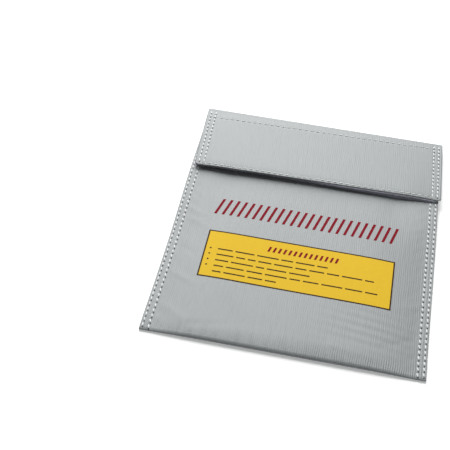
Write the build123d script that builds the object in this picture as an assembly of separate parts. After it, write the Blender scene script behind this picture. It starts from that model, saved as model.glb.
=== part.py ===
"""Battery safety bag: a flat sewn pouch of coated cloth with a hook-and-loop flap, closed and empty.

Frame: the bag lies on its back. +X runs across the bag, +Y from the bottom fold to the top fold,
+Z off the front panel. The origin is at the middle of the bag, on the surface that it lies on.
"""
from build123d import *
import os

os.makedirs("parts", exist_ok=True)

# ---- driving dimensions, millimetres -----------------------------------------------------------
BAG_WIDTH = 180.0        # across the outer edges of the side seams
BAG_LENGTH = 220.0       # bottom fold to top fold, with the flap closed
SHELL = 0.5              # coated outer cloth
LINING = 0.3             # woven inner cloth
INNER_HEIGHT = 4.2       # clear height between the two linings while the bag is empty
SEAM_WIDTH = 7.5         # margin sewn flat along each side
SLOPE_WIDTH = 15.5       # sloping stretch between a seam and the flat middle of the front
BOTTOM_HEIGHT = 4.0      # thickness of the bag at the bottom fold
BOTTOM_SLOPE = 20.0      # length over which the front rises from the bottom fold
FOLD_REACH = 2.2         # how far the bottom fold's piece reaches in from the bottom edge
MOUTH_SETBACK = 12.0     # mouth edge of the front panel, below the top fold
FLAP_DEPTH = 65.5        # top fold to the free edge of the flap
STRIP_WIDTH = 25.0       # hook strip and loop strip
STRIP_ROW = 1.5          # sewn rows of a strip, in from its long edges
STRIP_SETBACK = 1.0      # long edge of the loop strip, behind the free edge of the flap
HOOK_SETBACK = 3.0       # long edge of the hook strip, behind the same edge
HOOK_SIDE = 4.0          # ends of the hook strip, in from the flap's sides
LOOP_THICK = 0.9
HOOK_THICK = 0.8
PILE_GAP = 0.3           # between the two strips, which leaves room for their sewn rows
HEM_WIDTH = 6.0          # hem along the mouth
HEM_ROW = 4.8            # its row, in from the mouth's edge
THREAD_WIDTH = 0.5
THREAD_HEIGHT = 0.2
INK = 0.1                # printed layer
SIDE_CLEARANCE = 0.3     # between the front panel and the seam allowances
CUT_DEPTH = 1.0          # how far below the back the volumes reach that the front's layers are cut from

SEAM_ROWS = (1.4, 5.3)   # outer and inner side seam rows, in from the bag's edge
FLAP_ROWS = (2.4, 6.0)   # outer and inner side rows of the flap, in from the flap's edge
FLAP_TOP_ROW = 9.2       # row along the top fold, in from the fold
FLAP_HEM_ROW = 1.7       # row along the free edge, in from that edge
SEAM_THREAD_END = 0.5    # how far a side seam's rows stop before the ends of the seam
FLAP_THREAD_END = 1.0    # how far the flap's side rows stop before the rows that cross them

LABEL_WIDTH = 128.4      # yellow panel
LABEL_HEIGHT = 43.2
LABEL_CENTRE_Y = -38.4
LABEL_BORDER = 1.0
TITLE_WIDTH = 129.0      # band of slanted bars above the panel
TITLE_HEIGHT = 15.4
TITLE_CENTRE_Y = 7.3
TITLE_BARS = 24
TITLE_BAR_WIDTH = 1.9
TITLE_LEAN = 4.0         # how far the top of a slanted bar stands to the right of its foot
HEADING_LEFT = -22.0     # small slanted bars at the top of the panel
HEADING_WIDTH = 48.7
HEADING_HEIGHT = 4.6
HEADING_RISE = 12.5      # their centre, above the panel's centre
HEADING_BARS = 14
HEADING_BAR_WIDTH = 1.5
HEADING_LEAN = 1.2
TEXT_LEFT = -55.0        # plain bars in place of the lines of print
TEXT_ENDS = (20.0, 51.5, 11.5, 58.0, -12.0)
TEXT_HEIGHT = 1.0
TEXT_RISE = 4.8          # the first line, above the panel's centre
TEXT_PITCH = 5.15
DOT_X = -60.0            # dots before the lines
DOT_RADIUS = 0.65

# ---- places worked out from them ---------------------------------------------------------------
HALF_WIDTH = BAG_WIDTH / 2
BOTTOM_Y = -BAG_LENGTH / 2
TOP_Y = BAG_LENGTH / 2
SEAM_X = HALF_WIDTH - SEAM_WIDTH
FLAT_X = SEAM_X - SLOPE_WIDTH
BACK_TOP = SHELL + LINING
SEAM_TOP = BACK_TOP + LINING + SHELL
FRONT_TOP = BACK_TOP + INNER_HEIGHT + LINING + SHELL
DROP = FRONT_TOP - SEAM_TOP
FLAP_INNER = FRONT_TOP + LOOP_THICK + PILE_GAP + HOOK_THICK
FLAP_TOP = FLAP_INNER + LINING + SHELL
FOLD_Y = TOP_Y - SHELL - LINING
FRONT_Y = BOTTOM_Y + FOLD_REACH
MOUTH_Y = TOP_Y - MOUTH_SETBACK
FLAP_EDGE_Y = TOP_Y - FLAP_DEPTH
STRIP_Y = FLAP_EDGE_Y + STRIP_SETBACK
HOOK_Y = FLAP_EDGE_Y + HOOK_SETBACK
HOOK_LOW = FLAP_INNER - HOOK_THICK
HOOK_HALF = HALF_WIDTH - HOOK_SIDE
FRONT_HALF = SEAM_X - SIDE_CLEARANCE
FLAP_ROW_HALF = HALF_WIDTH - FLAP_ROWS[0]


def drop_at(x):
    """How far the arched front has fallen below its flat middle at x."""
    along_slope = (abs(x) - FLAT_X) / SLOPE_WIDTH
    return DROP * min(max(along_slope, 0.0), 1.0)


def arch_line(height, half_width):
    """Points of an arched line across the bag, from left to right, as (x, z)."""
    stations = [x for x in (FLAT_X, SEAM_X) if x < half_width] + [half_width]
    xs = [-x for x in reversed(stations)] + stations
    return [(x, height - drop_at(x)) for x in xs]


def prism_y(points, y_low, y_high):
    """An (x, z) outline extruded along Y."""
    outline = Plane.XZ.offset(-y_low) * Polyline(*points, close=True)
    return extrude(make_face(outline), y_high - y_low, dir=(0, 1, 0))


def prism_x(points, half_width):
    """A (y, z) outline extruded along X, centred on the bag."""
    outline = Plane.YZ.offset(-half_width) * Polyline(*points, close=True)
    return extrude(make_face(outline), 2 * half_width, dir=(1, 0, 0))


def arched_plate(low, high, half_width, y_low, y_high):
    """Cloth or tape that follows the arch across the bag and is straight along it."""
    outline = arch_line(high, half_width) + arch_line(low, half_width)[::-1]
    return prism_y(outline, y_low, y_high)


def plate(x_low, x_high, y_low, y_high, z_low, z_high):
    """A flat rectangular layer."""
    box = Box(x_high - x_low, y_high - y_low, z_high - z_low)
    return Pos((x_low + x_high) / 2, (y_low + y_high) / 2, (z_low + z_high) / 2) * box


def front_volume(height, floor):
    """Everything under the front's surface at this height: arched across, sloped at the bottom."""
    across = arch_line(height, FRONT_HALF)
    across = across + [(FRONT_HALF, floor), (-FRONT_HALF, floor)]
    fold_height = height - FRONT_TOP + BOTTOM_HEIGHT
    along = [
        (FRONT_Y, floor),
        (FRONT_Y, fold_height),
        (FRONT_Y + BOTTOM_SLOPE, height),
        (MOUTH_Y, height),
        (MOUTH_Y, floor),
    ]
    return prism_y(across, FRONT_Y, MOUTH_Y) & prism_x(along, FRONT_HALF)


def front_layer(low, high):
    """One layer of the front, between two heights of the same surface."""
    return front_volume(high, BACK_TOP - CUT_DEPTH) - front_volume(low, BACK_TOP - 2 * CUT_DEPTH)


def mouth_hem():
    """The shell cloth turned back along the mouth."""
    return arched_plate(FRONT_TOP, FRONT_TOP + SHELL, FRONT_HALF, MOUTH_Y - HEM_WIDTH, MOUTH_Y)


def loop_strip():
    """The strip across the front."""
    top = FRONT_TOP + LOOP_THICK
    return arched_plate(FRONT_TOP, top, FRONT_HALF, STRIP_Y, STRIP_Y + STRIP_WIDTH)


def fold_section(x, radius):
    """Half-round section of the bottom fold at x, open towards the inside of the bag."""
    centre = (BOTTOM_Y + radius, radius)
    inner = radius - SHELL
    top = 2 * radius
    outline = Wire([
        Edge.make_line((x, FRONT_Y, 0), (x, centre[0], 0)),
        Edge.make_three_point_arc((x, centre[0], 0), (x, BOTTOM_Y, radius), (x, centre[0], top)),
        Edge.make_line((x, centre[0], top), (x, FRONT_Y, top)),
        Edge.make_line((x, FRONT_Y, top), (x, FRONT_Y, top - SHELL)),
        Edge.make_line((x, FRONT_Y, top - SHELL), (x, centre[0], top - SHELL)),
        Edge.make_three_point_arc((x, centre[0], top - SHELL), (x, centre[0] - inner, radius),
                                  (x, centre[0], SHELL)),
        Edge.make_line((x, centre[0], SHELL), (x, FRONT_Y, SHELL)),
        Edge.make_line((x, FRONT_Y, SHELL), (x, FRONT_Y, 0)),
    ])
    return Face(outline)


def bottom_fold():
    """The shell's fold: full height in the middle, down to the seam's thickness at the corners."""
    full = BOTTOM_HEIGHT / 2
    thin = SEAM_TOP / 2
    full_x = FLAT_X + SLOPE_WIDTH * (FRONT_TOP - BOTTOM_HEIGHT) / DROP
    stations = [(full_x, full), (SEAM_X, thin), (HALF_WIDTH, thin)]
    stations = [(-x, radius) for x, radius in reversed(stations)] + stations
    return loft([fold_section(x, radius) for x, radius in stations], ruled=True)


def flap_layer(low, high):
    """A layer of the flap, which lies flat over the strips."""
    return plate(-HALF_WIDTH, HALF_WIDTH, FLAP_EDGE_Y, FOLD_Y, low, high)


def top_fold_layer(y_low, y_high):
    """A layer of the short wall that turns up from the back to the flap."""
    return plate(-HALF_WIDTH, HALF_WIDTH, y_low, y_high, BACK_TOP, FLAP_INNER)


def thread_along(x, y_low, y_high, base):
    """A row of stitches that runs along the bag, as a thin bar."""
    half = THREAD_WIDTH / 2
    return plate(x - half, x + half, y_low, y_high, base, base + THREAD_HEIGHT)


def thread_over_front(y, base):
    """A row of stitches that runs across the front and follows its arch."""
    half = THREAD_WIDTH / 2
    return arched_plate(base, base + THREAD_HEIGHT, FRONT_HALF, y - half, y + half)


def thread_over_flap(y, base, half_width):
    """A row of stitches that runs straight across the flap."""
    half = THREAD_WIDTH / 2
    return plate(-half_width, half_width, y - half, y + half, base, base + THREAD_HEIGHT)


def ink_prism(points, base):
    """A printed shape on the flat middle of the front."""
    outline = Plane.XY.offset(base) * Polyline(*points, close=True)
    return extrude(make_face(outline), INK, dir=(0, 0, 1))


def ink_bar(x_low, x_high, centre_y, height, base):
    """A printed bar."""
    return plate(x_low, x_high, centre_y - height / 2, centre_y + height / 2, base, base + INK)


def slanted_bars(left, width, low, high, count, bar_width, lean, base):
    """A band of plain slanted bars, evenly spaced over its width."""
    pitch = (width - bar_width - lean) / (count - 1)
    bars = []
    for number in range(count):
        foot = left + number * pitch
        outline = [(foot, low), (foot + bar_width, low)]
        outline += [(foot + bar_width + lean, high), (foot + lean, high)]
        bars.append(ink_prism(outline, base))
    return bars


def title_print():
    """The band of bars above the panel."""
    low = TITLE_CENTRE_Y - TITLE_HEIGHT / 2
    high = TITLE_CENTRE_Y + TITLE_HEIGHT / 2
    bars = slanted_bars(
        -TITLE_WIDTH / 2, TITLE_WIDTH, low, high, TITLE_BARS, TITLE_BAR_WIDTH, TITLE_LEAN, FRONT_TOP
    )
    return Compound(children=bars)


def label_panel():
    """The printed panel inside its border."""
    half_w = LABEL_WIDTH / 2 - LABEL_BORDER
    inner_height = LABEL_HEIGHT - 2 * LABEL_BORDER
    return ink_bar(-half_w, half_w, LABEL_CENTRE_Y, inner_height, FRONT_TOP)


def label_border():
    """The dark line round the panel."""
    half_w = LABEL_WIDTH / 2
    outer = ink_bar(-half_w, half_w, LABEL_CENTRE_Y, LABEL_HEIGHT, FRONT_TOP)
    return outer - label_panel()


def label_marks():
    """Small slanted bars in place of a heading, and dots and bars in place of lines of print."""
    base = FRONT_TOP + INK
    low = LABEL_CENTRE_Y + HEADING_RISE - HEADING_HEIGHT / 2
    high = low + HEADING_HEIGHT
    marks = slanted_bars(
        HEADING_LEFT, HEADING_WIDTH, low, high, HEADING_BARS, HEADING_BAR_WIDTH, HEADING_LEAN, base
    )
    for number, end in enumerate(TEXT_ENDS):
        line_y = LABEL_CENTRE_Y + TEXT_RISE - TEXT_PITCH * number
        marks.append(ink_bar(TEXT_LEFT, end, line_y, TEXT_HEIGHT, base))
        if end != TEXT_ENDS[-1]:
            marks.append(Pos(DOT_X, line_y, base + INK / 2) * Cylinder(DOT_RADIUS, INK))
    return Compound(children=marks)


def side_seam(side):
    """Both layers of the front's margin, sewn down flat on the back."""
    x_low, x_high = sorted((side * SEAM_X, side * HALF_WIDTH))
    return plate(x_low, x_high, FRONT_Y, MOUTH_Y, BACK_TOP, SEAM_TOP)


def flap_side_threads(side):
    """The two rows down one side of the flap."""
    rows = [side * (HALF_WIDTH - inset) for inset in FLAP_ROWS]
    low = FLAP_EDGE_Y + FLAP_HEM_ROW + FLAP_THREAD_END
    high = TOP_Y - FLAP_TOP_ROW - FLAP_THREAD_END
    return Compound(children=[thread_along(x, low, high, FLAP_TOP) for x in rows])


def strip_rows(y_low):
    """Where the rows along the two long edges of a strip lie."""
    return y_low + STRIP_ROW, y_low + STRIP_WIDTH - STRIP_ROW


def loop_strip_threads():
    """The two rows that hold the loop strip."""
    base = FRONT_TOP + LOOP_THICK
    return Compound(children=[thread_over_front(y, base) for y in strip_rows(STRIP_Y)])


def hook_strip_threads():
    """The two rows that hold the hook strip, on its face."""
    base = HOOK_LOW - THREAD_HEIGHT
    return Compound(children=[thread_over_flap(y, base, HOOK_HALF) for y in strip_rows(HOOK_Y)])


def seam_thread(side, inset):
    """One row of a side seam, from the bottom edge to the mouth."""
    low = FRONT_Y + SEAM_THREAD_END
    high = MOUTH_Y - SEAM_THREAD_END
    return thread_along(side * (HALF_WIDTH - inset), low, high, SEAM_TOP)


nodes = {
    # pouch: what stays still
    "back_panel": plate(-HALF_WIDTH, HALF_WIDTH, FRONT_Y, FOLD_Y, 0.0, SHELL),
    "back_lining": plate(-HALF_WIDTH, HALF_WIDTH, FRONT_Y, FOLD_Y, SHELL, BACK_TOP),
    "bottom_fold": bottom_fold(),
    "left_seam_allowance": side_seam(-1),
    "right_seam_allowance": side_seam(1),
    "left_seam_thread_outer": seam_thread(-1, SEAM_ROWS[0]),
    "left_seam_thread_inner": seam_thread(-1, SEAM_ROWS[1]),
    "right_seam_thread_outer": seam_thread(1, SEAM_ROWS[0]),
    "right_seam_thread_inner": seam_thread(1, SEAM_ROWS[1]),
    # front: lifts at the mouth
    "front_panel": front_layer(FRONT_TOP - SHELL, FRONT_TOP),
    "front_lining": front_layer(FRONT_TOP - SHELL - LINING, FRONT_TOP - SHELL),
    "mouth_hem": mouth_hem(),
    "mouth_hem_thread": thread_over_front(MOUTH_Y - HEM_ROW, FRONT_TOP + SHELL),
    "loop_strip": loop_strip(),
    "loop_strip_threads": loop_strip_threads(),
    "title_print": title_print(),
    "label_panel": label_panel(),
    "label_border": label_border(),
    "label_marks": label_marks(),
    # top fold: the strip between back and flap
    "top_fold_cloth": top_fold_layer(FOLD_Y + LINING, TOP_Y),
    "top_fold_lining": top_fold_layer(FOLD_Y, FOLD_Y + LINING),
    # flap
    "flap_panel": flap_layer(FLAP_TOP - SHELL, FLAP_TOP),
    "flap_lining": flap_layer(FLAP_INNER, FLAP_TOP - SHELL),
    "hook_strip": plate(-HOOK_HALF, HOOK_HALF, HOOK_Y, HOOK_Y + STRIP_WIDTH, HOOK_LOW, FLAP_INNER),
    "hook_strip_threads": hook_strip_threads(),
    "flap_top_thread": thread_over_flap(TOP_Y - FLAP_TOP_ROW, FLAP_TOP, FLAP_ROW_HALF),
    "flap_hem_thread": thread_over_flap(FLAP_EDGE_Y + FLAP_HEM_ROW, FLAP_TOP, FLAP_ROW_HALF),
    "flap_left_threads": flap_side_threads(-1),
    "flap_right_threads": flap_side_threads(1),
}

for name, shape in nodes.items():
    export_step(shape, f"parts/{name}.step")
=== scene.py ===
"""Looks of the battery safety bag: sewn cloth, tapes, stitches and print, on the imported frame."""
import math
import random

import bmesh
import bpy
import numpy as np
from mathutils import Matrix, Vector


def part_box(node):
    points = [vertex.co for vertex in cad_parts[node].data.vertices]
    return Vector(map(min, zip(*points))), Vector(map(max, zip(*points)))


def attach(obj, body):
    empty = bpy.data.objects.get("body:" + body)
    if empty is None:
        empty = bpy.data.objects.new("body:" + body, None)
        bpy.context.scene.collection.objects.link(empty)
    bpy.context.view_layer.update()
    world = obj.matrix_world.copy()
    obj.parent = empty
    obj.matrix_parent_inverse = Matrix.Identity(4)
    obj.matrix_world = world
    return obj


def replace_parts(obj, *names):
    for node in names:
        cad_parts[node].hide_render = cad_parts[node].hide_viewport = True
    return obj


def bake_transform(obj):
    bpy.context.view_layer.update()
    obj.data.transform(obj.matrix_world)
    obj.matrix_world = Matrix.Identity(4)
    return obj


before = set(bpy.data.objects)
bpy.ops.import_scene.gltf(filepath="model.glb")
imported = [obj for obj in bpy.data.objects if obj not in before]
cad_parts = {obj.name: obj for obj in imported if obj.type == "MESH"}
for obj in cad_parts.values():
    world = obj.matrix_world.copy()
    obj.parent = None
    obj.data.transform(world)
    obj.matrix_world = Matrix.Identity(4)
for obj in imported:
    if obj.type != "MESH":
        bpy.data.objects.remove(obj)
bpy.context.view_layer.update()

MM = 0.001

# ---- places, from the frame ----
FRONT_LOW, FRONT_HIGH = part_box("front_panel")
FLAP_LOW, FLAP_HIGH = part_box("flap_panel")
SEAM_LOW, SEAM_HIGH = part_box("right_seam_allowance")
LOOP_LOW, LOOP_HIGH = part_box("loop_strip")
HOOK_LOW, HOOK_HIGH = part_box("hook_strip")
LABEL_LOW, LABEL_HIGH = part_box("label_border")
TITLE_LOW, TITLE_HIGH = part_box("title_print")
HEM_LOW, HEM_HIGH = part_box("mouth_hem")

HALF = SEAM_HIGH.x               # half the bag's width
SEAM_X = SEAM_LOW.x              # where the flat side seam ends
SEAM_TOP = SEAM_HIGH.z
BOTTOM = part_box("bottom_fold")[0].y
HINGE = FRONT_LOW.y              # where the front starts to lift, just inside the bottom fold
MOUTH = FRONT_HIGH.y
FOLD_BULGE = 1.0 * MM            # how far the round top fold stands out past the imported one
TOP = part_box("top_fold_cloth")[1].y + FOLD_BULGE
FLAP_TOP = FLAP_HIGH.z
FLAP_EDGE = FLAP_LOW.y
SEAM_BOXES = [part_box(f"right_seam_thread_{row}") for row in ("outer", "inner")]
SEAM_ROWS = [(low.x + high.x) / 2 for low, high in SEAM_BOXES]

# ---- sizes of the cloth work ----
CLOTH = 0.27 * MM                # thickness of the coated cloth
LINING = 0.28 * MM
PITCH = 4.4 * MM                 # from one stitch to the next
STEP = PITCH / 6                 # mesh spacing where stitches dimple the cloth
FRONT_DIMPLE = 0.20 * MM         # how deep rows of stitches press the cloth in,
EDGE_DIMPLE = 0.16 * MM          # on the back and at the flap's sides,
FLAP_DIMPLE = 0.13 * MM          # and along the flap's free edge and its fold
THREAD = 0.42 * MM               # radius of the sewing thread
FOLD_RADIUS = 3.0 * MM           # corners of the top fold
FLAP_SHIFT = 2.0 * MM            # the flap's free edge stands this much to the right
FLAP_TAPER = 0.7 * MM            # and each of its sides this much further in
FLAP_ROWS = (2.4 * MM, 6.0 * MM)
FLAP_HEM_ROW = 1.7 * MM
HEM_STITCH = 1.3 * MM            # from the lower edge of the mouth's hem to its row of stitches
FLAP_TOP_ROW = (97.8 * MM, 102.2 * MM)   # the row along the fold, at the left and right side
FLAP_TILT = 0.9 * MM             # how much the free edge stands above the other end
CORNER_DROOP = 0.9 * MM          # how much lower its free corners are,
EDGE_DROOP = 0.35 * MM           # and the whole free edge
FOLD_DROP = 0.8 * MM             # how much lower the flap's cloth runs into the fold
FOLD_TOP = FLAP_TOP - FLAP_TILT - FOLD_DROP
FOLD_MIDDLE = FOLD_TOP / 2
FOLD_START = 0.35                # slope of the front, in radians, where the bottom fold begins
FLAT_END = TOP - FOLD_RADIUS     # where the bag's flat stretch ends and the top fold begins
LINING_INSET = 1.2 * MM          # of the linings of the back and the flap, from the bag's sides
STRIP_ROW = 1.5 * MM             # sewn rows of the loop strip, from its long edges
CROWN_START = 6.0 * MM           # the front's crown rises from here, in from the bag's side,
CROWN_REACH = 44.0 * MM          # over this width,
CROWN_LOW = 2.2 * MM             # to this height near the bottom fold
CROWN_HIGH = 2.4 * MM            # and to this one at the start of the loop strip,
STRIP_START = 45.0 * MM
STRIP_LIFT = 1.5 * MM            # where the strips hold the front up
FOLD_DIP = 0.7 * MM              # how far the front comes down to the bottom fold,
FOLD_DIP_LENGTH = 12.0 * MM      # and over which length
EDGE_LIFT = (2.0 * MM, 3.3 * MM)     # of the left and the right side beside the mouth
WAVE = 0.26 * MM                 # height of the cloth's slight unevenness
PRINT_TILT = -0.0085             # the print sits slightly askew on the cloth
INK = 0.07 * MM


def smooth(value, low, high):
    """Rises from 0 at low to 1 at high, with no corner at either end."""
    t = np.clip((np.asarray(value, float) - low) / (high - low), 0, 1)
    return t * t * (3 - 2 * t)


def hump(value, width):
    """A bell of height 1 and this width, centred on 0."""
    return np.exp(-((value / width) ** 2))


# ---- the cloth's surfaces ----
WAVES = (  # (across, along, phase) of each wave, in radians per metre and radians
    (31, 12, 0.4), (-17, 38, 2.1), (52, -24, 4.0), (9, 71, 1.3), (-83, 33, 5.2), (64, 88, 3.1),
)


def slow_waves(x, y):
    """The slight unevenness of cloth that was folded and lay flat, roughly from -1 to 1."""
    total = 0.0
    for number, (a, b, phase) in enumerate(WAVES):
        total = total + np.sin(a * x + b * y + phase) / (1 + 0.25 * number)
    return total / 3.2


def row_dip(across, along):
    """How a row of stitches pulls the cloth down: across is the distance to the row."""
    return hump(across, 0.85 * MM) * (0.72 + 0.28 * np.cos(2 * math.pi * along / PITCH))


CREASES = (  # (from x, y, to x, y, height), in millimetres: soft diagonal ridges beside the seams
    (-82, -58, -64, -67, 0.34), (-83, -34, -70, -40, -0.24), (-82, -86, -62, -99, 0.26),
    (-83, 3, -71, -2, 0.34), (-77, -8, -66, -14, 0.28), (83, -52, 68, -57, 0.22),
    (82, -80, 60, -92, -0.22), (83, 18, 71, 14, 0.20), (-60, -100, -36, -96, -0.22),
    (30, -97, 62, -101, 0.16),
)


def creases(x, y):
    """The ridges, each a rounded line that fades out at its ends."""
    total = 0.0
    for x1, y1, x2, y2, height in CREASES:
        start = np.array((x1, y1)) * MM
        line = np.array((x2, y2)) * MM - start
        t = ((x - start[0]) * line[0] + (y - start[1]) * line[1]) / (line @ line)
        near = np.clip(t, 0, 1)
        gap = np.hypot(x - start[0] - near * line[0], y - start[1] - near * line[1])
        total = total + height * MM * hump(gap, 2.6 * MM) * (1 - 0.75 * near)
    return total


def edge_lift(x, y):
    """How far the stiff side edges stand off the table beside the mouth."""
    left, right = EDGE_LIFT
    lift = np.where(x < 0, left, right) * smooth(np.abs(x), 56 * MM, 88 * MM)
    return lift * smooth(y, -25 * MM, 46 * MM) * smooth(TOP - y, 5 * MM, 30 * MM)


def front_surface(x, y):
    """Outer face of the front: flat at the side seams, crowned between them, low at the fold."""
    x, y = np.broadcast_arrays(np.asarray(x, float), np.asarray(y, float))
    edge = HALF - np.abs(x)
    t = np.clip((edge - CROWN_START) / CROWN_REACH, 0, 1)
    t = (np.hypot(t, 0.06) - 0.06) / 0.9418    # rounds the start, and still ends at 1
    rise = 1 - (1 - t) ** 2.3
    crown = CROWN_LOW + (CROWN_HIGH - CROWN_LOW) * np.clip((y - HINGE) / (STRIP_START - HINGE), 0, 1)
    crown = crown + STRIP_LIFT * smooth(y, STRIP_START, STRIP_START + 6 * MM)
    crown = crown - FOLD_DIP * np.clip(1 - (y - HINGE) / FOLD_DIP_LENGTH, 0, 1) ** 2
    loose = rise * smooth(MOUTH - y, 2 * MM, 60 * MM) * smooth(y - HINGE, 0, 18 * MM)
    z = SEAM_TOP + rise * crown + WAVE * loose * slow_waves(x, y) + creases(x, y) * rise ** 0.3
    z = z + ripples(x, y) + puckers(x, y, edge)
    for row in SEAM_ROWS:
        z = z - FRONT_DIMPLE * row_dip(np.abs(x) - row, y)
    sway = 0.28 * MM * np.sin(38 * y + 1.0 + np.sign(x)) * (1 - smooth(edge, 0, 16 * MM))
    return np.stack([x + np.sign(x) * sway, y, z + edge_lift(x, y)], -1)


def ripples(x, y):
    """A patch of small waves near the front's lower right corner."""
    patch_of_waves = hump(np.hypot((x - 52 * MM) / 1.6, y + 80 * MM), 17 * MM)
    return 0.09 * MM * patch_of_waves * np.sin(2 * math.pi * (y + 0.12 * x) / (6.5 * MM))


def puckers(x, y, edge):
    """Small gathers beside each side seam. edge is the distance to the bag's side."""
    near = smooth(edge, 6 * MM, 8 * MM) * (1 - smooth(edge, 9 * MM, 19 * MM))
    beat = 0.4 + 0.6 * np.abs(np.sin(61 * y + 2 * np.sign(x)) * np.sin(23 * y + 1))
    return 0.03 * MM * near * beat * np.sin(2 * math.pi * (y - 0.8 * np.abs(x)) / (2.1 * PITCH))


def flap_surface(x, y):
    """Outer face of the flap's flat stretch. x runs across the bag, y towards the fold."""
    x, y = np.broadcast_arrays(np.asarray(x, float), np.asarray(y, float))
    down = np.clip((FLAT_END - y) / (FLAT_END - FLAP_EDGE), 0, 1.02)
    corner = smooth(np.abs(x) / HALF, 0.72, 1.0) * down ** 2
    z = FLAP_TOP - FLAP_TILT * (1 - down) - CORNER_DROOP * corner
    z = z - FOLD_DROP * smooth(y - top_row_y(x), -0.5 * MM, FLAT_END - top_row_y(x))
    z = z - EDGE_DROOP * smooth(down, 0.9, 1.02)
    z = z + 0.13 * MM * smooth(down, 0, 0.3) * slow_waves(x * 0.8 + 0.3, y * 1.2)
    for row in FLAP_ROWS:
        z = z - EDGE_DIMPLE * row_dip(HALF - row - np.abs(x), y)
    z = z - FLAP_DIMPLE * row_dip(y - FLAP_EDGE - FLAP_HEM_ROW, x)
    inside = smooth(HALF - np.abs(x), 1 * MM, 3 * MM)
    z = z - FLAP_DIMPLE * row_dip(y - top_row_y(x), x) * inside
    z = z - 0.12 * MM * hump(y - top_row_y(x) + 0.5 * MM, 1.3 * MM)
    across = x * (1 - FLAP_TAPER / HALF * down) + FLAP_SHIFT * down
    return np.stack([across, y + free_edge_shift(x) * down ** 2, z], -1)


def free_edge_shift(x):
    """How much higher up the bag the free edge lies than a straight one. It climbs to the right."""
    return 0.55 * MM + 0.0205 * np.maximum(x, -62 * MM)


def top_row_y(x):
    """The sewn row along the top fold, a little askew."""
    left, right = FLAP_TOP_ROW
    t = np.clip((np.asarray(x, float) + HALF) / (2 * HALF), 0, 1)
    return left + (right - left) * t ** 0.6


def unit(vectors):
    """The vectors at length 1."""
    return vectors / np.linalg.norm(vectors, axis=-1, keepdims=True)


def normals(surface, x, y):
    """Unit normals of a surface, from small steps along it."""
    d = 0.05 * MM
    across = surface(x + d, y) - surface(x - d, y)
    along = surface(x, y + d) - surface(x, y - d)
    return unit(np.cross(across, along))


def lifted(surface, x, y, height):
    """Points this far off a surface."""
    return surface(x, y) + normals(surface, x, y) * height


def raised(surface, x, y, height):
    """Points of a surface, moved straight up."""
    return surface(x, y) + (0, 0, height)


# ---- mesh building ----
class Piece:
    """The points, cloth coordinates, faces and material numbers of one piece."""

    def __init__(self):
        self.points = []
        self.uvs = []
        self.faces = []
        self.slots = []

    def place(self, points, uvs):
        """Adds points of any grid shape and returns their numbers in that shape."""
        points, uvs = np.asarray(points, float), np.asarray(uvs, float)
        first = len(self.points)
        self.points.extend(points.reshape(-1, 3).tolist())
        self.uvs.extend(uvs.reshape(-1, 2).tolist())
        return first + np.arange(points[..., 0].size).reshape(points.shape[:-1])

    def skin(self, numbers):
        """Covers a grid of point numbers with quads."""
        corners = numbers[:-1, :-1], numbers[:-1, 1:], numbers[1:, 1:], numbers[1:, :-1]
        quads = np.stack(corners, -1).reshape(-1, 4)
        self.faces.extend(quads.tolist())
        self.slots.extend([0] * len(quads))

    def sheet(self, points, uvs):
        """A grid of points with its quads."""
        numbers = self.place(points, uvs)
        self.skin(numbers)
        return numbers

    def cap(self, numbers, slot=0):
        """One face on a ring of point numbers."""
        self.faces.append(numbers.tolist())
        self.slots.append(slot)

    def tube(self, rings, uvs):
        """A tube through rings of points, closed at its ends."""
        numbers = self.place(rings, uvs)
        self.skin(np.concatenate([numbers, numbers[:, :1]], axis=1))
        self.cap(numbers[0])
        self.cap(numbers[-1])

    def wrap(self, chain, outward, inward, radius, tuck, bulge=None):
        """Turns the cloth round an edge, and back under it by tuck."""
        edge = np.array([self.points[i] for i in chain])
        uv = np.array([self.uvs[i] for i in chain])
        outward, inward = np.asarray(outward, float), np.asarray(inward, float)
        loops = [np.asarray(chain)]
        bulge = radius if bulge is None else bulge
        for angle in np.radians((36, 72, 108, 144, 180)):
            ring = edge + outward * bulge * math.sin(angle) + inward * radius * (1 - math.cos(angle))
            loops.append(self.place(ring, uv + outward[..., :2] * radius * angle))
        for share in (0.5, 1.0):
            ring = edge + inward * 2 * radius - outward * tuck * share
            loops.append(self.place(ring, uv + outward[..., :2] * (radius * math.pi + tuck * share)))
        self.skin(np.stack(loops))

    def build(self, name, looks, nodes=(), up=None, thickness=None):
        """The Blender object, in its first look's slot. up is where its first face looks."""
        mesh = bpy.data.meshes.new(name)
        mesh.from_pydata(self.points, [], self.faces)
        layer = mesh.uv_layers.new(name="cloth")
        order = np.empty(len(mesh.loops), np.int32)
        mesh.loops.foreach_get("vertex_index", order)
        layer.data.foreach_set("uv", np.array(self.uvs, np.float32)[order].ravel())
        mesh.polygons.foreach_set("material_index", self.slots)
        for look in looks:
            mesh.materials.append(look)
        work = bmesh.new()
        work.from_mesh(mesh)
        bmesh.ops.recalc_face_normals(work, faces=work.faces)
        work.faces.ensure_lookup_table()
        if up is not None and work.faces[0].normal.dot(Vector(up)) < 0:
            bmesh.ops.reverse_faces(work, faces=work.faces)
        work.to_mesh(mesh)
        work.free()
        obj = add_object(name, mesh)
        if thickness:
            solid = obj.modifiers.new("thickness", "SOLIDIFY")
            solid.thickness = thickness
            solid.offset = -1
            apply_modifiers(obj)
        obj.data.polygons.foreach_set("use_smooth", [True] * len(obj.data.polygons))
        obj.data.set_sharp_from_angle(angle=math.radians(50))
        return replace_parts(obj, *nodes) if nodes else obj


def add_object(name, data):
    """An object with this data, in the scene."""
    obj = bpy.data.objects.new(name, data)
    bpy.context.scene.collection.objects.link(obj)
    return obj


def apply_modifiers(obj):
    """Replaces an object's mesh with the one that its modifiers make."""
    graph = bpy.context.evaluated_depsgraph_get()
    mesh = bpy.data.meshes.new_from_object(obj.evaluated_get(graph), depsgraph=graph)
    obj.modifiers.clear()
    obj.data = mesh


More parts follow.
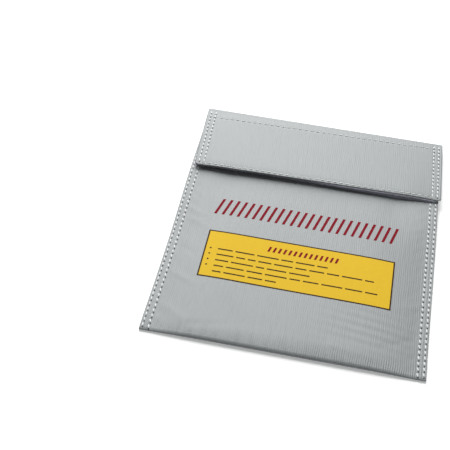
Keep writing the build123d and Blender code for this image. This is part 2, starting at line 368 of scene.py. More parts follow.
def stations(*spans):
    """Places along a line, from (end, step) spans that follow each other."""
    places = [0.0]
    for end, step in spans:
        count = max(1, round((end - places[-1]) / step))
        places.extend(np.linspace(places[-1], end, count + 1)[1:])
    return np.array(places)


def side_columns(side):
    """x of the mesh's columns from a side seam to the middle, in rising order."""
    inset = stations((10.5 * MM, 0.55 * MM), (30 * MM, 1.2 * MM), (HALF, 2.0 * MM))
    return np.sort(side * (HALF - inset))


def row_at(x, y, z):
    """A row of points across the bag."""
    return np.stack(np.broadcast_arrays(x, y, z), -1)


def distances(line):
    """How far along a line of points each one is."""
    return np.concatenate([[0], np.cumsum(np.linalg.norm(np.diff(line, axis=0), axis=1))])


def row_uvs(x, places):
    """Cloth coordinates of rows across the bag, from the place of each along it."""
    return np.stack(np.meshgrid(x, places), -1)


SIDES = {"left": -1, "right": 1}


def on_top_fold(obj):
    """Bakes the placement of a piece of the back, which turns up into the top fold, into its mesh."""
    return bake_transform(obj)


def on_flap(obj):
    """Bakes the placement into the mesh of a piece of the flap, into which the top fold turns over.
    """
    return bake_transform(obj)


def on_front(obj):
    """Bakes the placement of a piece of the front into its mesh."""
    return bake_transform(obj)


# ---- materials ----
class Shader:
    """A Principled material with helpers for its nodes."""

    def __init__(self, name, color, roughness, **sockets):
        self.color = color
        self.material = bpy.data.materials.new(name)
        self.material.use_nodes = True
        self.nodes = self.material.node_tree.nodes
        self.links = self.material.node_tree.links
        self.bsdf = next(n for n in self.nodes if n.type == "BSDF_PRINCIPLED")
        self.bsdf.inputs["Base Color"].default_value = (*color, 1)
        self.bsdf.inputs["Roughness"].default_value = roughness
        for socket, value in sockets.items():
            self.bsdf.inputs[socket.replace("_", " ")].default_value = value
        uv = self.add("ShaderNodeUVMap")
        uv.uv_map = "cloth"
        self.uv = uv.outputs[0]

    def add(self, kind, **inputs):
        """A node, with its input values or links by name."""
        node = self.nodes.new(kind)
        for name, value in inputs.items():
            self.feed(node.inputs[name.replace("_", " ")], value)
        return node

    def feed(self, socket, value):
        """Links an output, or sets a value."""
        if isinstance(value, bpy.types.NodeSocket):
            self.links.new(value, socket)
        else:
            socket.default_value = value

    def stretched(self, x, y):
        """Cloth coordinates multiplied by these, so that a pattern can be long one way."""
        node = self.add("ShaderNodeMapping", Vector=self.uv)
        node.inputs["Scale"].default_value = (x, y, 1)
        return node.outputs[0]

    def noise(self, vector, scale, detail=3.0, roughness=0.55):
        """A noise value from 0 to 1."""
        sockets = {"Vector": vector, "Scale": scale, "Detail": detail, "Roughness": roughness}
        return self.add("ShaderNodeTexNoise", **sockets).outputs["Fac"]

    def yarns(self, direction, pitch, distortion):
        """Parallel ridges at this pitch, in metres."""
        node = self.add("ShaderNodeTexWave", Vector=self.uv, Scale=math.pi / 10 / pitch)
        node.bands_direction = direction
        node.inputs["Distortion"].default_value = distortion
        node.inputs["Detail"].default_value = 1.0
        node.inputs["Detail Scale"].default_value = 0.35
        return node.outputs["Fac"]

    def math(self, operation, a, b):
        """One sum on two values."""
        node = self.nodes.new("ShaderNodeMath")
        node.operation = operation
        self.feed(node.inputs[0], a)
        self.feed(node.inputs[1], b)
        return node.outputs[0]

    def spread(self, value, low, high, **ends):
        """A value from 0 to 1, or between other ends, mapped onto another range."""
        return self.add("ShaderNodeMapRange", Value=value, To_Min=low, To_Max=high, **ends).outputs[0]

    def bump(self, height, strength, distance):
        """Sends a height to the surface's normal."""
        node = self.add("ShaderNodeBump", Height=height, Strength=strength, Distance=distance)
        self.links.new(node.outputs[0], self.bsdf.inputs["Normal"])

    def sum(self, a, share, b, other_share):
        """Two values, each multiplied by its share and added."""
        a, b = self.math("MULTIPLY", a, share), self.math("MULTIPLY", b, other_share)
        return self.math("ADD", a, b)

    def paint(self, value, dark, light, grain, low, high):
        """Shades of the colour by value, between two factors, and a roughness by grain."""
        node = self.nodes.new("ShaderNodeMix")
        node.data_type = "RGBA"
        self.feed(node.inputs["Factor"], value)
        for socket, factor in ((6, dark), (7, light)):
            node.inputs[socket].default_value = (*(c * factor for c in self.color), 1)
        self.links.new(node.outputs[2], self.bsdf.inputs["Base Color"])
        self.links.new(self.spread(grain, low, high), self.bsdf.inputs["Roughness"])
        return self.material


def ribbed_height(s):
    """The height of the coated cloth: strong warp ribs, faint weft lines and long uneven yarns."""
    ribs = s.yarns("X", 1.39 * MM, 4.0)
    weft = s.yarns("Y", 0.9 * MM, 2.0)
    slubs = s.noise(s.stretched(800, 60), 1.0, 3.0)
    broken = s.math("MULTIPLY", ribs, s.noise(s.stretched(260, 35), 1.0, 2.0))
    place = s.add("ShaderNodeSeparateXYZ", Vector=s.uv)
    gap = s.math("ABSOLUTE", s.math("SUBTRACT", place.outputs["Y"], HINGE), 0)
    strong = s.spread(gap, 0.7, 2.4, From_Min=12 * MM, From_Max=1 * MM)
    total = s.sum(s.math("MULTIPLY", broken, strong), 1.0, weft, 0.2)
    return s.sum(total, 1.0, slubs, 1.1), slubs


def coated_cloth():
    """Silver coated woven cloth with a satin face."""
    s = Shader("coated_cloth", (0.267, 0.282, 0.285), 0.55, Metallic=0.16, Specular_IOR_Level=0.35)
    height, slubs = ribbed_height(s)
    clouds = s.noise(s.uv, 38.0, 4.0)
    scuffs = s.noise(s.stretched(1, 1.6), 420.0, 5.0, 0.7)
    s.bump(height, 0.7, 0.16 * MM)
    value, grain = s.sum(slubs, 0.5, clouds, 0.5), s.sum(scuffs, 0.6, clouds, 0.4)
    return s.paint(value, 0.90, 1.10, grain, 0.46, 0.62)


def ink(name, color, roughness):
    """Screen-printed ink, which follows the cloth's ribs and is thin in places."""
    s = Shader(name, color, roughness, Specular_IOR_Level=0.05)
    height, slubs = ribbed_height(s)
    worn = s.noise(s.stretched(1, 1.3), 260.0, 4.0, 0.65)
    s.bump(height, 0.35, 0.07 * MM)
    value = s.sum(slubs, 0.4, worn, 0.6)
    return s.paint(value, 0.90, 1.08, worn, roughness - 0.08, roughness + 0.1)


def plain_weave(name, color, pitch, depth, roughness, sheen):
    """A matte plain weave."""
    s = Shader(name, color, roughness, Sheen_Weight=sheen, Specular_IOR_Level=0.25)
    cross = s.math("MULTIPLY", s.yarns("X", pitch, 1.2), s.yarns("Y", pitch, 1.2))
    fuzz = s.noise(s.uv, 1600.0, 3.0, 0.7)
    clouds = s.noise(s.uv, 45.0, 3.0)
    s.bump(s.sum(cross, 1.0, fuzz, 0.6), 0.7, depth)
    value = s.sum(cross, 0.5, clouds, 0.5)
    return s.paint(value, 0.84, 1.08, fuzz, roughness - 0.1, roughness + 0.08)


def pile(name, color):
    """Soft looped pile, seen as fine fuzz."""
    s = Shader(name, color, 0.85, Sheen_Weight=0.35, Specular_IOR_Level=0.2)
    fuzz = s.noise(s.uv, 2100.0, 4.0, 0.75)
    tufts = s.noise(s.uv, 620.0, 2.0)
    s.bump(s.math("ADD", fuzz, tufts), 0.8, 0.25 * MM)
    return s.paint(s.sum(fuzz, 0.6, tufts, 0.4), 0.70, 1.12, tufts, 0.75, 0.95)


def sewing_thread():
    """Twisted polyester thread. Its cloth coordinates run along and round each stitch."""
    s = Shader("thread", (0.80, 0.81, 0.80), 0.5, Sheen_Weight=0.2, Specular_IOR_Level=0.4)
    twist = s.yarns("DIAGONAL", 0.42 * MM, 0.4)
    fuzz = s.noise(s.uv, 2600.0, 3.0)
    s.bump(s.sum(twist, 1.0, fuzz, 0.4), 0.7, 0.08 * MM)
    return s.paint(twist, 0.82, 1.12, fuzz, 0.42, 0.62)


def needle_hole_shade():
    """Painted shade: the darkness inside the needle holes where a stitch goes through the cloth, as a
    near-black colour.
    """
    # painted shade: a near-black colour for the shadow down in the needle holes
    s = Shader("needle_hole_shade", (0.030, 0.031, 0.032), 0.9, Specular_IOR_Level=0.1)
    grain = s.noise(s.uv, 900.0, 2.0)
    return s.paint(grain, 0.6, 1.5, grain, 0.8, 1.0)


CLOTH_LOOK = coated_cloth()
LINING_LOOK = plain_weave("lining_cloth", (0.60, 0.59, 0.56), 0.8 * MM, 0.10 * MM, 0.85, 0.15)
LOOP_LOOK = pile("loop_tape", (0.66, 0.66, 0.76))
HOOK_LOOK = plain_weave("hook_tape", (0.70, 0.70, 0.80), 0.7 * MM, 0.12 * MM, 0.6, 0.1)
THREAD_LOOK = sewing_thread()
# the needle holes' painted shade
HOLE_SHADE_LOOK = needle_hole_shade()
YELLOW_LOOK = ink("yellow_print", (0.74, 0.48, 0.030), 0.6)
RED_LOOK = ink("red_print", (0.22, 0.007, 0.016), 0.7)
DARK_LOOK = ink("dark_print", (0.050, 0.026, 0.012), 0.6)


# ---- shell, lining and hems ----
def front_shell(name, side):
    """Half of the front's coated cloth, from its side seam to the middle of the bag."""
    length = MOUTH - HINGE
    y = np.linspace(HINGE, MOUTH, round(length / STEP) + 1)
    grid_x, grid_y = np.meshgrid(side_columns(side), y)
    piece = Piece()
    numbers = piece.sheet(front_surface(grid_x, grid_y), np.dstack([grid_x, grid_y]))
    piece.wrap(numbers[:, 0 if side < 0 else -1], (side, 0, 0), (0, 0, -1), 0.36 * MM, 1.6 * MM)
    nodes = "front_panel", f"{name}_seam_allowance"
    obj = piece.build(f"front_shell_{name}", [CLOTH_LOOK], nodes, up=(0, 0, 1), thickness=CLOTH)
    return on_front(obj)


def front_lining(name, side):
    """Half of the front's lining, just inside its shell."""
    width = HALF - 1.5 * MM
    x = np.sort(side * (width - stations((30 * MM, 1.5 * MM), (width, 3.0 * MM))))
    grid_x, grid_y = np.meshgrid(x, np.linspace(HINGE + 0.3 * MM, MOUTH - 0.4 * MM, 130))
    piece = Piece()
    points = raised(front_surface, grid_x, grid_y, -CLOTH - 0.12 * MM)
    piece.sheet(points, np.dstack([grid_x, grid_y]))
    name = f"front_lining_{name}"
    obj = piece.build(name, [LINING_LOOK], ["front_lining"], up=(0, 0, 1), thickness=LINING)
    return on_front(obj)


def mouth_hem(name, side):
    """Half of the cloth that is folded over the mouth's edge, outside and a little way inside."""
    width = SEAM_X + 5.0 * MM
    x = side_columns(side)
    x = x[np.abs(x) < width]
    lift, radius = 0.30 * MM, 0.55 * MM
    line = [(y, lift) for y in np.linspace(HEM_LOW.y - HEM_HIGH.y, 0, 7)]
    for angle in np.radians(np.linspace(30, 180, 6)):
        line.append((radius * math.sin(angle), lift - radius * (1 - math.cos(angle))))
    line += [(y, lift - 2 * radius) for y in np.linspace(0, -2.6 * MM, 4)[1:]]
    runs = distances(np.array(line))
    points = [front_surface(x, MOUTH + min(y, 0)) + (0, max(y, 0), height) for y, height in line]
    piece = Piece()
    piece.sheet(points, row_uvs(x, MOUTH + runs))
    obj = piece.build(f"mouth_hem_{name}", [CLOTH_LOOK], ["mouth_hem"], up=(0, 0, 1), thickness=CLOTH)
    return on_front(obj)


def hem_face(x, y):
    """Outer face of the hem at the mouth."""
    return raised(front_surface, x, y, 0.34 * MM)


def mouth_stitches(name, side):
    """Half of the row that holds the mouth's hem."""
    y = HEM_LOW.y + HEM_STITCH
    ends = sorted([(0, y), (side * (SEAM_X - 0.5 * MM), y)])
    piece = Piece()
    sew(piece, hem_face, *ends, slant=0.05, seed=71 + side, thread=0.30 * MM)
    on_front(thread_piece(piece, f"mouth_hem_stitches_{name}", "mouth_hem_thread"))


def back_shell():
    """Coated cloth round the bottom fold, along the back and up the top fold to its middle."""
    left = side_columns(-1)
    x = np.concatenate([left, -left[-2::-1]])
    start = front_surface(x, HINGE)
    rows = [start]
    for angle in np.linspace(FOLD_START, math.pi, 15)[1:]:
        reach = math.sin(angle)
        if angle < math.pi / 2:
            reach = (reach - math.sin(FOLD_START)) / (1 - math.sin(FOLD_START))
        height = start[:, 2] * (1 + math.cos(angle)) / (1 + math.cos(FOLD_START))
        rows.append(row_at(start[:, 0], HINGE - (HINGE - BOTTOM) * reach, height))
    for y in np.linspace(HINGE, FLAT_END, round((FLAT_END - HINGE) / (PITCH / 4)) + 1)[1:]:
        rows.append(row_at(front_surface(x, min(y, MOUTH))[:, 0], y, back_height(x, y)))
    for angle in np.linspace(0, math.pi / 2, 9)[1:]:
        y = FLAT_END + FOLD_RADIUS * math.sin(angle)
        rows.append(row_at(x, y, FOLD_RADIUS * (1 - math.cos(angle))))
    rows += [row_at(x, TOP, z) for z in np.linspace(FOLD_RADIUS, FOLD_MIDDLE, 6)[1:]]
    points = np.array(rows)
    steps = np.median(np.linalg.norm(np.diff(points, axis=0), axis=2), axis=1)
    runs = np.concatenate([[0], np.cumsum(steps)])
    piece = Piece()
    numbers = piece.sheet(points, row_uvs(x, HINGE - runs))
    inward = unit(np.cross(np.gradient(points, axis=0), (-1.0, 0.0, 0.0)))
    for side, column in ((-1, 0), (1, -1)):
        piece.wrap(numbers[:, column], (side, 0, 0), inward[:, column], 0.3 * MM, 1.6 * MM)
    nodes = "back_panel", "bottom_fold"
    obj = piece.build("back_shell", [CLOTH_LOOK], nodes, up=(0, 0, 1), thickness=CLOTH)
    return on_top_fold(obj)


def back_height(x, y):
    """Height of the back's outer face: rows of stitches press it in, and its edges lift."""
    return sum(EDGE_DIMPLE * row_dip(np.abs(x) - row, y) for row in SEAM_ROWS) + edge_lift(x, y)


def back_lining():
    """Lining of the back, which turns up inside the top fold."""
    gap = CLOTH + 0.14 * MM
    inner = FOLD_RADIUS - gap - LINING
    line = [(y, gap + LINING) for y in np.linspace(HINGE + 0.4 * MM, FLAT_END, 90)]
    for angle in np.radians(np.linspace(0, 90, 8)[1:]):
        line.append((FLAT_END + inner * math.sin(angle), FOLD_RADIUS - inner * math.cos(angle)))
    line.append((FLAT_END + inner, FOLD_MIDDLE))
    runs = distances(np.array(line))
    edge = HALF - LINING_INSET
    x = np.linspace(-edge, edge, 90)
    points = np.array([row_at(x, y, z) for y, z in line])
    xs, ys = points[..., 0], points[..., 1]
    lift = 0.12 * MM * slow_waves(xs, ys) * smooth(HALF - np.abs(xs), 8 * MM, 30 * MM)
    points[..., 2] += np.clip(lift, 0, None) * (ys < FLAT_END - 5 * MM) + edge_lift(xs, ys)
    piece = Piece()
    piece.sheet(points, row_uvs(x, HINGE + runs))
    nodes = "back_lining", "top_fold_lining"
    obj = piece.build("back_lining_sheet", [LINING_LOOK], nodes, up=(0, 0, 1), thickness=LINING)
    return on_top_fold(obj)


def flap_shell():
    """Coated cloth of the flap, turned under along its sides and its free edge."""
    x = np.linspace(-HALF, HALF, round(2 * HALF / STEP) + 1)
    centre = FOLD_TOP - FOLD_RADIUS
    rows = [row_at(x, TOP, z) for z in np.linspace(FOLD_MIDDLE, centre, 5)]
    for angle in np.radians(np.linspace(0, 90, 10)[1:-1]):
        y = TOP - FOLD_RADIUS * (1 - math.cos(angle))
        rows.append(row_at(x, y, centre + FOLD_RADIUS * math.sin(angle)))
    count = round((FLAT_END - FLAP_EDGE) / STEP) + 1
    rows += [flap_surface(x, y) for y in np.linspace(FLAT_END, FLAP_EDGE, count)]
    points = np.array(rows)
    corner = 1 - smooth(HALF - np.abs(x), 0, 2.2 * MM)
    points[-1, :, 1] += corner * 0.9 * MM
    points[-2, :, 1] += corner * 0.4 * MM
    runs = distances(points[:, len(x) // 2])
    piece = Piece()
    numbers = piece.sheet(points, row_uvs(x, TOP - runs))
    chain = np.concatenate([numbers[:, 0], numbers[-1, 1:-1], numbers[::-1, -1]])
    inward = np.cross(np.gradient(points, axis=1), np.gradient(points, axis=0)).reshape(-1, 3)[chain]
    count = len(rows)
    outward = np.zeros((len(chain), 3))
    outward[:count, 0] = -1
    outward[-count:, 0] = 1
    outward[count - 1:-count + 1, 1] = -1
    bulge = np.full((len(chain), 1), 0.55 * MM)
    bulge[count:-count, 0] = 0.30 * MM
    piece.wrap(chain, unit(outward), unit(inward), 0.60 * MM, 4.5 * MM, bulge)
    nodes = "flap_panel", "top_fold_cloth"
    obj = piece.build("flap_shell", [CLOTH_LOOK], nodes, up=(0, 1, 0), thickness=CLOTH)
    return on_flap(obj)


def flap_lining():
    """Lining on the inside of the flap and of the upper half of the top fold."""
    inset, gap = 0.7 * MM, 1.1 * MM    # from the outer face, inside the fold and under the flap
    inner = FOLD_RADIUS - inset
    edge = HALF - LINING_INSET
    x = np.linspace(-edge, edge, 120)
    rows = [row_at(x, TOP - inset, FOLD_MIDDLE)]
    for angle in np.radians(np.linspace(0, 80, 8)):
        z = FOLD_TOP - FOLD_RADIUS + (inner - gap + inset) * math.sin(angle)
        rows.append(row_at(x, FLAT_END + inner * math.cos(angle), z))
    for y in np.linspace(FLAT_END - 0.5 * MM, FLAP_EDGE + 1.4 * MM, 40):
        rows.append(raised(flap_surface, x, y, -gap))
    points = np.array(rows)
    runs = distances(points[:, len(x) // 2])
    piece = Piece()
    piece.sheet(points, row_uvs(x, TOP - runs))
    nodes = ["flap_lining"]
    obj = piece.build("flap_lining_sheet", [LINING_LOOK], nodes, up=(0, 1, 0), thickness=LINING)
    return on_flap(obj)


# ---- stitches ----
def stitch(piece, centre, along, normal, length, thread, hole_shade):
    """One stitch of twisted thread, whose ends dive into the cloth, with a small disc of painted
    shade at each end for the needle holes.
    """
    side = np.cross(normal, along)
    angle = 2 * math.pi * np.arange(8)[:, None] / 8
    spoke = side * np.cos(angle) * 1.12 + normal * np.sin(angle) * 0.82
    rings, uvs = [], []
    for t in np.linspace(-1, 1, 9):
        middle = centre + along * length / 2 * t + normal * thread * (0.65 - 1.8 * abs(t) ** 4)
        radius = thread * (1 - 0.30 * abs(t) ** 5) * (1 + 0.13 * np.cos(2 * angle - 5.5 * t))
        rings.append(middle + spoke * radius)
        uvs.append(np.hstack([np.full_like(angle, length / 2 * t), thread * angle]))
    piece.tube(rings, uvs)
    if hole_shade:
        for sign in (-1, 1):
            # discs of painted shade for the needle holes at both ends of the stitch
            shade_disc(piece, centre + along * sign * length * 0.52, along, side, normal, 1.15 * thread)


def shade_disc(piece, centre, along, side, normal, radius):
    """A small disc of painted shade where the needle went in."""
    angle = 2 * math.pi * np.arange(8)[:, None] / 8
    cos, sin = np.cos(angle), np.sin(angle)
    points = centre + normal * 0.045 * MM + (along * cos * 1.15 + side * sin * 0.9) * radius
    piece.cap(piece.place(points, radius * np.hstack([cos, sin])), HOLE_SHADE)


def sew(piece, surface, start, end, slant=0.0, line=None, hole_shade=True, seed=1, thread=THREAD):
    """A row of stitches on a surface, from start to end in its x and y, or with y from line."""
    dice = random.Random(seed)
    start, end = np.array(start, float), np.array(end, float)
    length = np.linalg.norm(end - start)
    count = round(length / PITCH)
    for number in range(count):
        x, y = start + (end - start) * (number + 0.5) / count
        if line is not None:
            y = float(line(x))
        x, y = x + dice.uniform(-1, 1) * 0.05 * MM, y + dice.uniform(-1, 1) * 0.05 * MM
        normal = normals(surface, x, y)
        step = (end - start) / length * 0.2 * MM
        along = unit(surface(x + step[0], y + step[1]) - surface(x - step[0], y - step[1]))
        angle = slant + dice.uniform(-0.05, 0.05)
        along = along * math.cos(angle) + np.cross(normal, along) * math.sin(angle)
        stitch(piece, surface(x, y), along, normal, PITCH * dice.uniform(0.78, 0.86), thread, hole_shade)


HOLE_SHADE = 1                         # number of the material of the needle holes' painted shade in a piece of stitches


def thread_piece(piece, name, node):
    """Finishes a piece of stitches."""
    return piece.build(name, [THREAD_LOOK, HOLE_SHADE_LOOK], [node])


def back_surface(x, y):
    """Outer face of the back, seen from below."""
    x, y = np.broadcast_arrays(np.asarray(x, float), np.asarray(y, float))
    return np.stack([-x, y, back_height(-x, y)], -1)


def seam_stitches():
    """Both rows of both side seams, on the front and on the back."""
    rows = ("outer", SEAM_ROWS[0], 0.16, 1.6 * MM), ("inner", SEAM_ROWS[1], 0.24, 0.8 * MM)
    for name, side in SIDES.items():
        for row, place, slant, start in rows:
            low, high = BOTTOM + start, MOUTH + 5 * MM
            piece = Piece()
            ends = (side * place, low), (side * place, high)
            sew(piece, seam_face, *ends, slant=slant, seed=11 + side + int(place * 1000))
            ends = (-side * place, low), (-side * place, high)
            sew(piece, back_surface, *ends, slant=slant, seed=5, thread=0.30 * MM)
            obj = thread_piece(piece, f"{name}_seam_stitches_{row}", f"{name}_seam_thread_{row}")
            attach(obj, "pouch")


def seam_face(x, y):
    """The front's face at the side seams, carried on above the mouth and round the bottom fold."""
    points = front_surface(x, np.minimum(y, MOUTH))
    points[..., 1] += np.maximum(y - MOUTH, 0)
    points[..., 2] *= (1 + np.sqrt(1 - np.clip((HINGE - y) / (HINGE - BOTTOM), 0, 0.95) ** 2)) / 2
    return points


def flap_stitches():
    """The rows round the flap."""
    low, high = FLAP_EDGE + FLAP_HEM_ROW, TOP - 5.0 * MM
    for name, side in SIDES.items():
        piece = Piece()
        for number, inset in enumerate(FLAP_ROWS):
            x, seed = side * (HALF - inset), 31 + number + side
            sew(piece, flap_surface, (x, low), (x, high), slant=0.12, seed=seed, thread=0.40 * MM)
        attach(thread_piece(piece, f"flap_stitches_{name}", f"flap_{name}_threads"), "flap")
    reach = HALF - FLAP_ROWS[0] - 1.5 * MM
    piece = Piece()
    sew(piece, flap_surface, (-reach, low), (reach, low), slant=0.04, seed=41, thread=0.32 * MM)
    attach(thread_piece(piece, "flap_hem_stitches", "flap_hem_thread"), "flap")
    piece = Piece()
    ends = (-reach, 0), (reach, 0)
    sew(piece, flap_surface, *ends, slant=0.03, line=top_row_y, hole_shade=False, seed=43, thread=0.28 * MM)
    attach(thread_piece(piece, "flap_top_stitches", "flap_top_thread"), "flap")


# ---- hook and loop ----
PILE_FIBRES = 1500               # in each half of the loop strip
HOOK_PITCH = (1.9 * MM, 1.5 * MM)    # from one hook to the next, across and along the bag


def strip_y(x):
    """Lower edge of the loop strip."""
    return LOOP_LOW.y + 1.0 * MM - 0.6 * MM * smooth(x, -50 * MM, 45 * MM)


def loop_base(x, y):
    """The woven face of the loop strip, above the front's cloth."""
    return raised(front_surface, x, y, 0.55 * MM)


def loop_strip(name, side):
    """Half of the loop strip: a thick tape with an uneven, fuzzy face."""
    width = LOOP_HIGH.y - LOOP_LOW.y
    reach = HALF - 1.8 * MM
    x = np.sort(np.linspace(side * reach, 0, round(reach / (0.6 * MM))))
    grid_x, run = np.meshgrid(x, np.linspace(0, width, round(width / (0.6 * MM))))
    grid_y = strip_y(grid_x) + run
    dice = np.random.default_rng(7 + side)
    edge = smooth(np.minimum(run, width - run), 0, 1.0 * MM)
    height = (0.50 + 0.26 * dice.random(grid_x.shape)) * MM * edge + 0.12 * MM
    insets = STRIP_ROW, width - STRIP_ROW
    for inset in insets:
        height -= 0.30 * MM * hump(run - inset, 0.6 * MM)
    middle = 0 if side > 0 else -1    # the halves meet at the same height
    height[:, middle] = 0.62 * MM * edge[:, middle] + 0.12 * MM
    points = front_surface(grid_x, grid_y)
    points[..., 2] += height
    piece = Piece()
    piece.sheet(points, np.dstack([grid_x, grid_y]))
    nodes = ["loop_strip"]
    obj = piece.build(f"loop_strip_{name}", [LOOP_LOOK], nodes, up=(0, 0, 1), thickness=0.16 * MM)
    on_front(obj)
    rows = Piece()
    ends = sorted([(0, 0), (side * reach, 0)])
    for number, inset in enumerate(insets):
        sew(rows, loop_base, *ends, line=lambda at: strip_y(at) + inset, hole_shade=False, seed=51 + number)
    on_front(thread_piece(rows, f"loop_strip_stitches_{name}", "loop_strip_threads"))
    return loop_pile(name, side, reach, width)


def loop_pile(name, side, reach, width):
    """Short arched fibres that stand out of the loop strip."""
    dice = random.Random(71 + side)
    piece = Piece()
    for _ in range(PILE_FIBRES):
        x = side * dice.uniform(0.5 * MM, reach - 0.5 * MM)
        run = dice.uniform(0.4 * MM, width - 0.4 * MM)
        base = raised(front_surface, x, strip_y(x) + run, 0.52 * MM)
        turn = dice.uniform(0, math.pi)
        span = dice.uniform(0.35, 0.7) * MM
        height = dice.uniform(0.25, 0.55) * MM
        fibre(piece, base, (math.cos(turn), math.sin(turn), 0.0), span, height, 0.055 * MM)
    return on_front(piece.build(f"loop_pile_{name}", [LOOP_LOOK]))


def fibre(piece, base, direction, span, height, radius, up=1.0, sweep=180):
    """One arched fibre, three-sided, from base and back down to the tape."""
    along, rise = np.array(direction), np.array((0.0, 0.0, up))
    side = np.cross((0.0, 0.0, 1.0), along)
    corners = 0.5, 2.6, 4.7
    rings, uvs = [], []
    for angle in np.radians(np.linspace(0, sweep, 5)):
        middle = base - along * math.cos(angle) * span / 2 + rise * height * math.sin(angle)
        out = rise * math.sin(angle) - along * math.cos(angle)
        rings.append([middle + (side * math.cos(a) + out * math.sin(a)) * radius for a in corners])
        uvs.append([(base[0] + angle * span, base[1] + a * radius) for a in corners])
    piece.tube(rings, uvs)


def hook_face(x, y):
    """The face of the hook strip's tape, which looks down."""
    return raised(flap_surface, x, y, -1.75 * MM)


def hook_edge(x):
    """Lower edge of the hook strip, which looks out from under the flap on the right."""
    return HOOK_LOW.y - 3.75 * MM * smooth(x, -50 * MM, 20 * MM)


def hook_back(x, y):
    """The same face, with x the other way, so that its normal points down."""
    return hook_face(-x, y)


def hook_strip():
    """Tape with rows of small bent hooks, sewn inside the flap."""
    width, reach = HOOK_HIGH.y - HOOK_LOW.y, HOOK_HIGH.x
    grid_x, share = np.meshgrid(np.linspace(-reach, reach, 130), np.linspace(0, 1, 24))
    grid_y = hook_edge(grid_x) + (HOOK_HIGH.y - hook_edge(grid_x)) * share
    piece = Piece()
    numbers = piece.sheet(hook_face(grid_x, grid_y), np.dstack([grid_x, grid_y]))
    piece.wrap(numbers[0], (0, -1, 0), (0, 0, 1), 0.45 * MM, 0.6 * MM, 0.2 * MM)
    nodes = ["hook_strip"]
    obj = piece.build("hook_tape_sheet", [HOOK_LOOK], nodes, up=(0, 0, -1), thickness=0.25 * MM)
    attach(obj, "flap")
    hooks = Piece()
    dice = random.Random(91)
    for column in np.arange(-reach + 1.5 * MM, reach - 1 * MM, HOOK_PITCH[0]):
        for row in np.arange(HOOK_LOW.y + 2.6 * MM, HOOK_HIGH.y - 2.4 * MM, HOOK_PITCH[1]):
            x, y = column + dice.uniform(-0.1, 0.1) * MM, row + dice.uniform(-0.1, 0.1) * MM
            way = (0.0, dice.choice((-1.0, 1.0)), 0.0)
            base, span, height = hook_face(x, y), 0.6 * MM, 0.62 * MM
            fibre(hooks, base, way, span, height, 0.09 * MM, up=-1.0, sweep=150)
    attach(hooks.build("hook_rows", [HOOK_LOOK]), "flap")
    rows = Piece()
    lines = (lambda at: hook_edge(-at) + 1.3 * MM, lambda at: HOOK_HIGH.y - 1.3 * MM)
    for number, line in enumerate(lines):
        sew(rows, hook_back, (-reach, 0), (reach, 0), line=line, seed=61 + number, thread=0.26 * MM)
    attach(thread_piece(rows, "hook_strip_stitches", "hook_strip_threads"), "flap")


# ---- print ----
def tilted(x, y):
    """The print's own upright coordinates, turned slightly on the cloth."""
    return x, y + PRINT_TILT * x


def patch(piece, x_low, x_high, y_low, y_high, lean=0.0, height=INK):
    """A printed four-sided shape that follows the cloth, its top moved to the right by lean."""
    columns = max(2, round((x_high - x_low) / (1.5 * MM)) + 1)
    rows = max(2, round((y_high - y_low) / (1.5 * MM)) + 1)
    x, y = np.meshgrid(np.linspace(x_low, x_high, columns), np.linspace(y_low, y_high, rows))
    x = x + lean * (y - y_low) / (y_high - y_low)
    x, y = tilted(x, y)
    piece.sheet(lifted(front_surface, x, y, height), np.stack([x, y], -1))


def dot(piece, x, y, radius, height):
    """A printed dot."""
    angles = np.linspace(0, 2 * math.pi, 13)[:-1]
    xs, ys = tilted(x + radius * np.cos(angles), y + radius * np.sin(angles))
    piece.cap(piece.place(lifted(front_surface, xs, ys, height), np.stack([xs, ys], -1)))


def halves(x_low, x_high):
    """The stretches of a span that lie on each half of the front."""
    if x_low < 0:
        yield "left", x_low, min(x_high, 0.0)
    if x_high > 0:
        yield "right", max(x_low, 0.0), x_high


def two_pieces():
    """An empty piece for each half of the front."""
    return {name: Piece() for name in SIDES}


def print_halves(pieces, base, look, node):
    """Finishes the two halves of one print."""
    for name, piece in pieces.items():
        on_front(piece.build(f"{base}_{name}", [look], [node], up=(0, 0, 1)))


def label():
    """The yellow panel, its dark border, and dots and bars in place of print."""
    line, raise_by = 1.0 * MM, INK * 1.3
    low, high = LABEL_LOW, LABEL_HIGH
    panel, border = two_pieces(), two_pieces()
    for name, a, b in halves(low.x + line, high.x - line):
        patch(panel[name], a, b, low.y + line, high.y - line)
    print_halves(panel, "label_panel", YELLOW_LOOK, "label_panel")
    for y in (low.y, high.y - line):
        for name, a, b in halves(low.x, high.x):
            patch(border[name], a, b, y, y + line, height=raise_by)
    for name, x in (("left", low.x), ("right", high.x - line)):
        patch(border[name], x, x + line, low.y + line, high.y - line, height=raise_by)
    print_halves(border, "label_border", DARK_LOOK, "label_border")
    label_marks((low.y + high.y) / 2)


TEXT_ENDS = (20.0, 51.5, 11.5, 58.0, -12.0)    # where the rows of bars end, in millimetres
TEXT_START, TEXT_PITCH, TEXT_GAP = -55.0, 5.15, 1.9
HEADING_START, HEADING_WIDTH, HEADING_BARS = -22, 46.0, 14


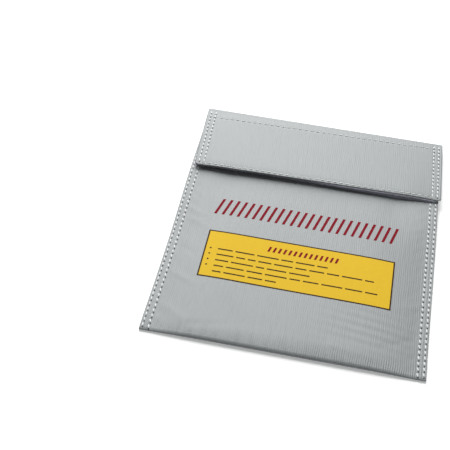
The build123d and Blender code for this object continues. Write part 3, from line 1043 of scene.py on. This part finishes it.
def label_marks(middle):
    """Rows of short bars, four of them with a dot, and a heading of slanted bars."""
    dice = random.Random(17)
    marks, heading = two_pieces(), two_pieces()
    for number, end in enumerate(TEXT_ENDS):
        y = middle + (4.8 - TEXT_PITCH * number) * MM
        x = TEXT_START
        while x < end - 2.5:
            word = min(dice.uniform(5.0, 15.0), end - x)
            for name, a, b in halves(x * MM, (x + word) * MM):
                patch(marks[name], a, b, y - 0.5 * MM, y + 0.5 * MM, height=INK * 2)
            x += word + TEXT_GAP
        if number < 4:
            dot(marks["left"], -60 * MM, y, 0.65 * MM, INK * 2)
    print_halves(marks, "label_marks", DARK_LOOK, "label_marks")
    low, high = middle + 10.2 * MM, middle + 14.8 * MM
    for number in range(HEADING_BARS):
        left = (HEADING_START + HEADING_WIDTH / (HEADING_BARS - 1) * number) * MM
        slanted_bar(heading, left, 1.5 * MM, low, high, 1.2 * MM, INK * 2)
    print_halves(heading, "label_heading", RED_LOOK, "label_marks")


def slanted_bar(pieces, left, width, low, high, lean, height):
    """A bar that leans to the right, on the half of the front where its middle is."""
    name = "left" if left + (width + lean) / 2 < 0 else "right"
    patch(pieces[name], left, left + width, low, high, lean, height)


def title():
    """The band of slanted bars above the panel."""
    bars, width, lean = 24, 1.9 * MM, 4.0 * MM
    pitch = (TITLE_HIGH.x - TITLE_LOW.x - width - lean) / (bars - 1)
    pieces = two_pieces()
    for number in range(bars):
        left = TITLE_LOW.x + number * pitch
        slanted_bar(pieces, left, width, TITLE_LOW.y, TITLE_HIGH.y, lean, INK)
    print_halves(pieces, "title_bars", RED_LOOK, "title_print")


# ---- stage ----
def floor():
    """A wide pale floor under the bag, with a faint glow of its own."""
    bpy.ops.mesh.primitive_plane_add(size=6, location=(0, 0, -0.35 * MM))
    plane = bpy.context.active_object
    plane.name = "floor"
    glow = {"Emission_Color": (1, 1, 1, 1), "Emission_Strength": 0.25}
    look = Shader("floor", (0.97, 0.97, 0.97), 0.9, Specular_IOR_Level=0.1, **glow)
    plane.data.materials.append(look.material)


def lights():
    """A broad lamp behind the bag, and a surround that is bright at the horizon and dim above."""
    world = bpy.data.worlds.new("surround")
    world.use_nodes = True
    nodes, links = world.node_tree.nodes, world.node_tree.links
    background = nodes["Background"]
    background.inputs["Color"].default_value = (0.96, 0.98, 1.0, 1)
    way = nodes.new("ShaderNodeTexCoord")
    parts = nodes.new("ShaderNodeSeparateXYZ")
    total = nodes.new("ShaderNodeMath")
    links.new(way.outputs["Generated"], parts.inputs[0])
    for number, ends in enumerate(((0.15, 1.0, 0.03, 0.26), (0.0, 0.15, 0.60, 0.0))):
        level = nodes.new("ShaderNodeMapRange")
        for socket, value in zip(("From Min", "From Max", "To Min", "To Max"), ends):
            level.inputs[socket].default_value = value
        links.new(parts.outputs["Z"], level.inputs["Value"])
        links.new(level.outputs[0], total.inputs[number])
    links.new(total.outputs[0], background.inputs["Strength"])
    bpy.context.scene.world = world
    lamp = bpy.data.lights.new("key", "AREA")
    lamp.shape = "RECTANGLE"
    lamp.size, lamp.size_y = 1.15, 1.75
    lamp.energy = 40.5
    key = add_object("key", lamp)
    key.location = (-0.28, 1.05, 0.98)
    key.rotation_euler = (-key.location).to_track_quat("-Z", "Y").to_euler()
    view = bpy.context.scene.view_settings
    view.view_transform = "Standard"
    view.look = "None"


def camera():
    """Looks down at the bag from the front and a little to its right, slightly rolled."""
    azimuth, elevation, roll = (math.radians(a) for a in (8.31, 45.39, 3.76))
    target, distance = Vector((-0.05518, -0.00632, 0.0)), 0.69816
    back = Vector((
        math.sin(azimuth) * math.cos(elevation),
        -math.cos(azimuth) * math.cos(elevation),
        math.sin(elevation),
    ))
    right = Vector((math.cos(azimuth), math.sin(azimuth), 0))
    up = back.cross(right)
    turned = right * math.cos(roll) + up * math.sin(roll)
    up = back.cross(turned)
    lens = bpy.data.cameras.new("camera")
    lens.lens = 80.0
    lens.sensor_width = 36.0
    obj = add_object("camera", lens)
    matrix = Matrix((turned, up, back)).transposed().to_4x4()
    matrix.translation = target + back * distance
    obj.matrix_world = matrix
    bpy.context.scene.camera = obj


camera()
lights()
floor()
for side_name, side_sign in SIDES.items():
    front_shell(side_name, side_sign)
    front_lining(side_name, side_sign)
    mouth_hem(side_name, side_sign)
    mouth_stitches(side_name, side_sign)
    loop_strip(side_name, side_sign)
back_shell()
back_lining()
flap_shell()
flap_lining()
hook_strip()
seam_stitches()
flap_stitches()
label()
title()
